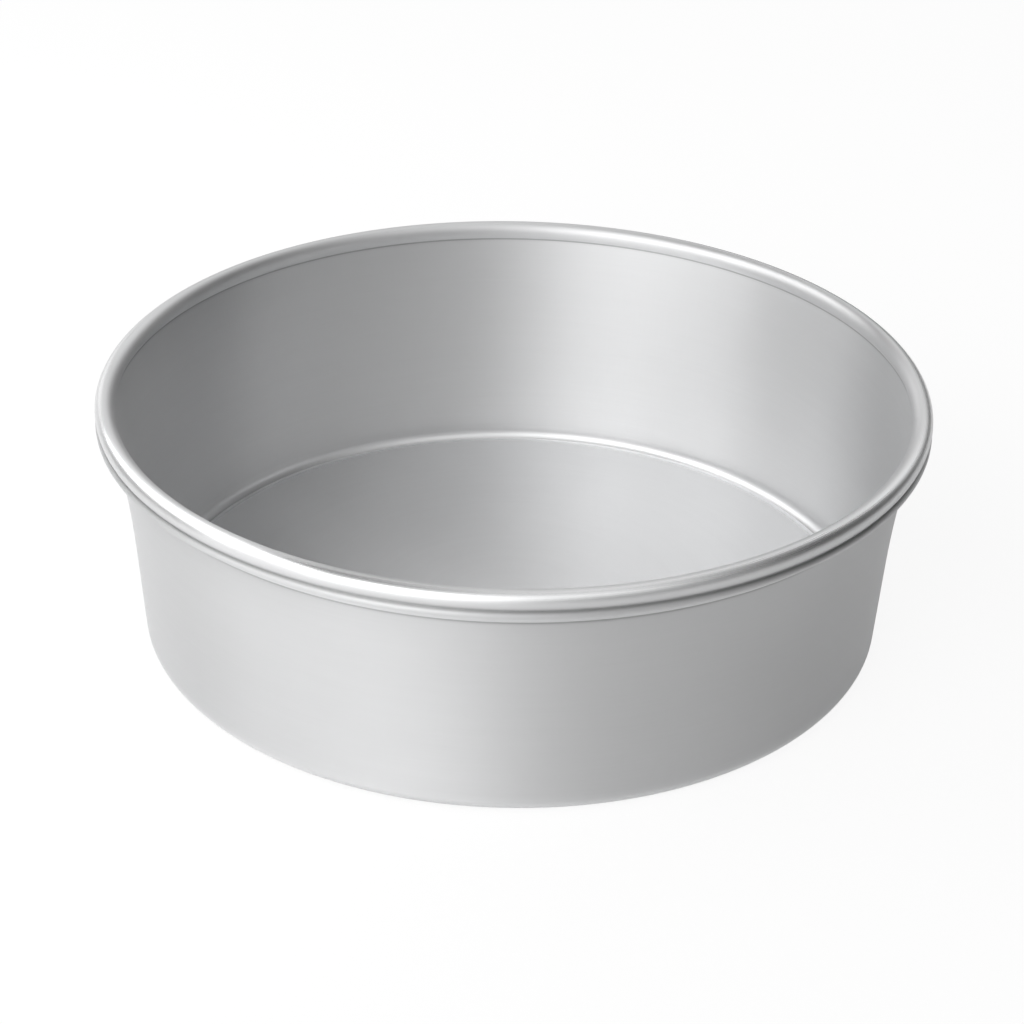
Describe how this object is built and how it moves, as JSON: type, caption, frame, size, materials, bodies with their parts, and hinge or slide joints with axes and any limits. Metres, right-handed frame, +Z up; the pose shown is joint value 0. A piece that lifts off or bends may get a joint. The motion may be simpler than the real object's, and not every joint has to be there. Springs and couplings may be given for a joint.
{
  "type": "round cake tin",
  "caption": "Deep round loose-bottomed cake tin: spun aluminium wall with a rolled, wired rim and an inward base ledge that carries a push-up base.",
  "frame": {"origin": "centre of the foot, on the surface that the tin stands on", "axes": "+Z up along the axis of the tin, from the foot to the rim"},
  "size_m": [0.2415, 0.2414, 0.075],
  "materials": {
    "tin_shell": "satin anodised, fine spun grain",
    "tin_base": "satin anodised, fine turned grain",
    "rim_wire": "drawn galvanised wire"
  },
  "bodies": {
    "tin": {"tin_body": "tin_shell", "rim_wire": "rim_wire"},
    "base": {"loose_base": "tin_base"}
  },
  "joints": [
    {"name": "base_lift", "type": "slide", "parent": "tin", "child": "base", "axis": [0, 0, 1], "range_m": [0, 0.09]}
  ]
}
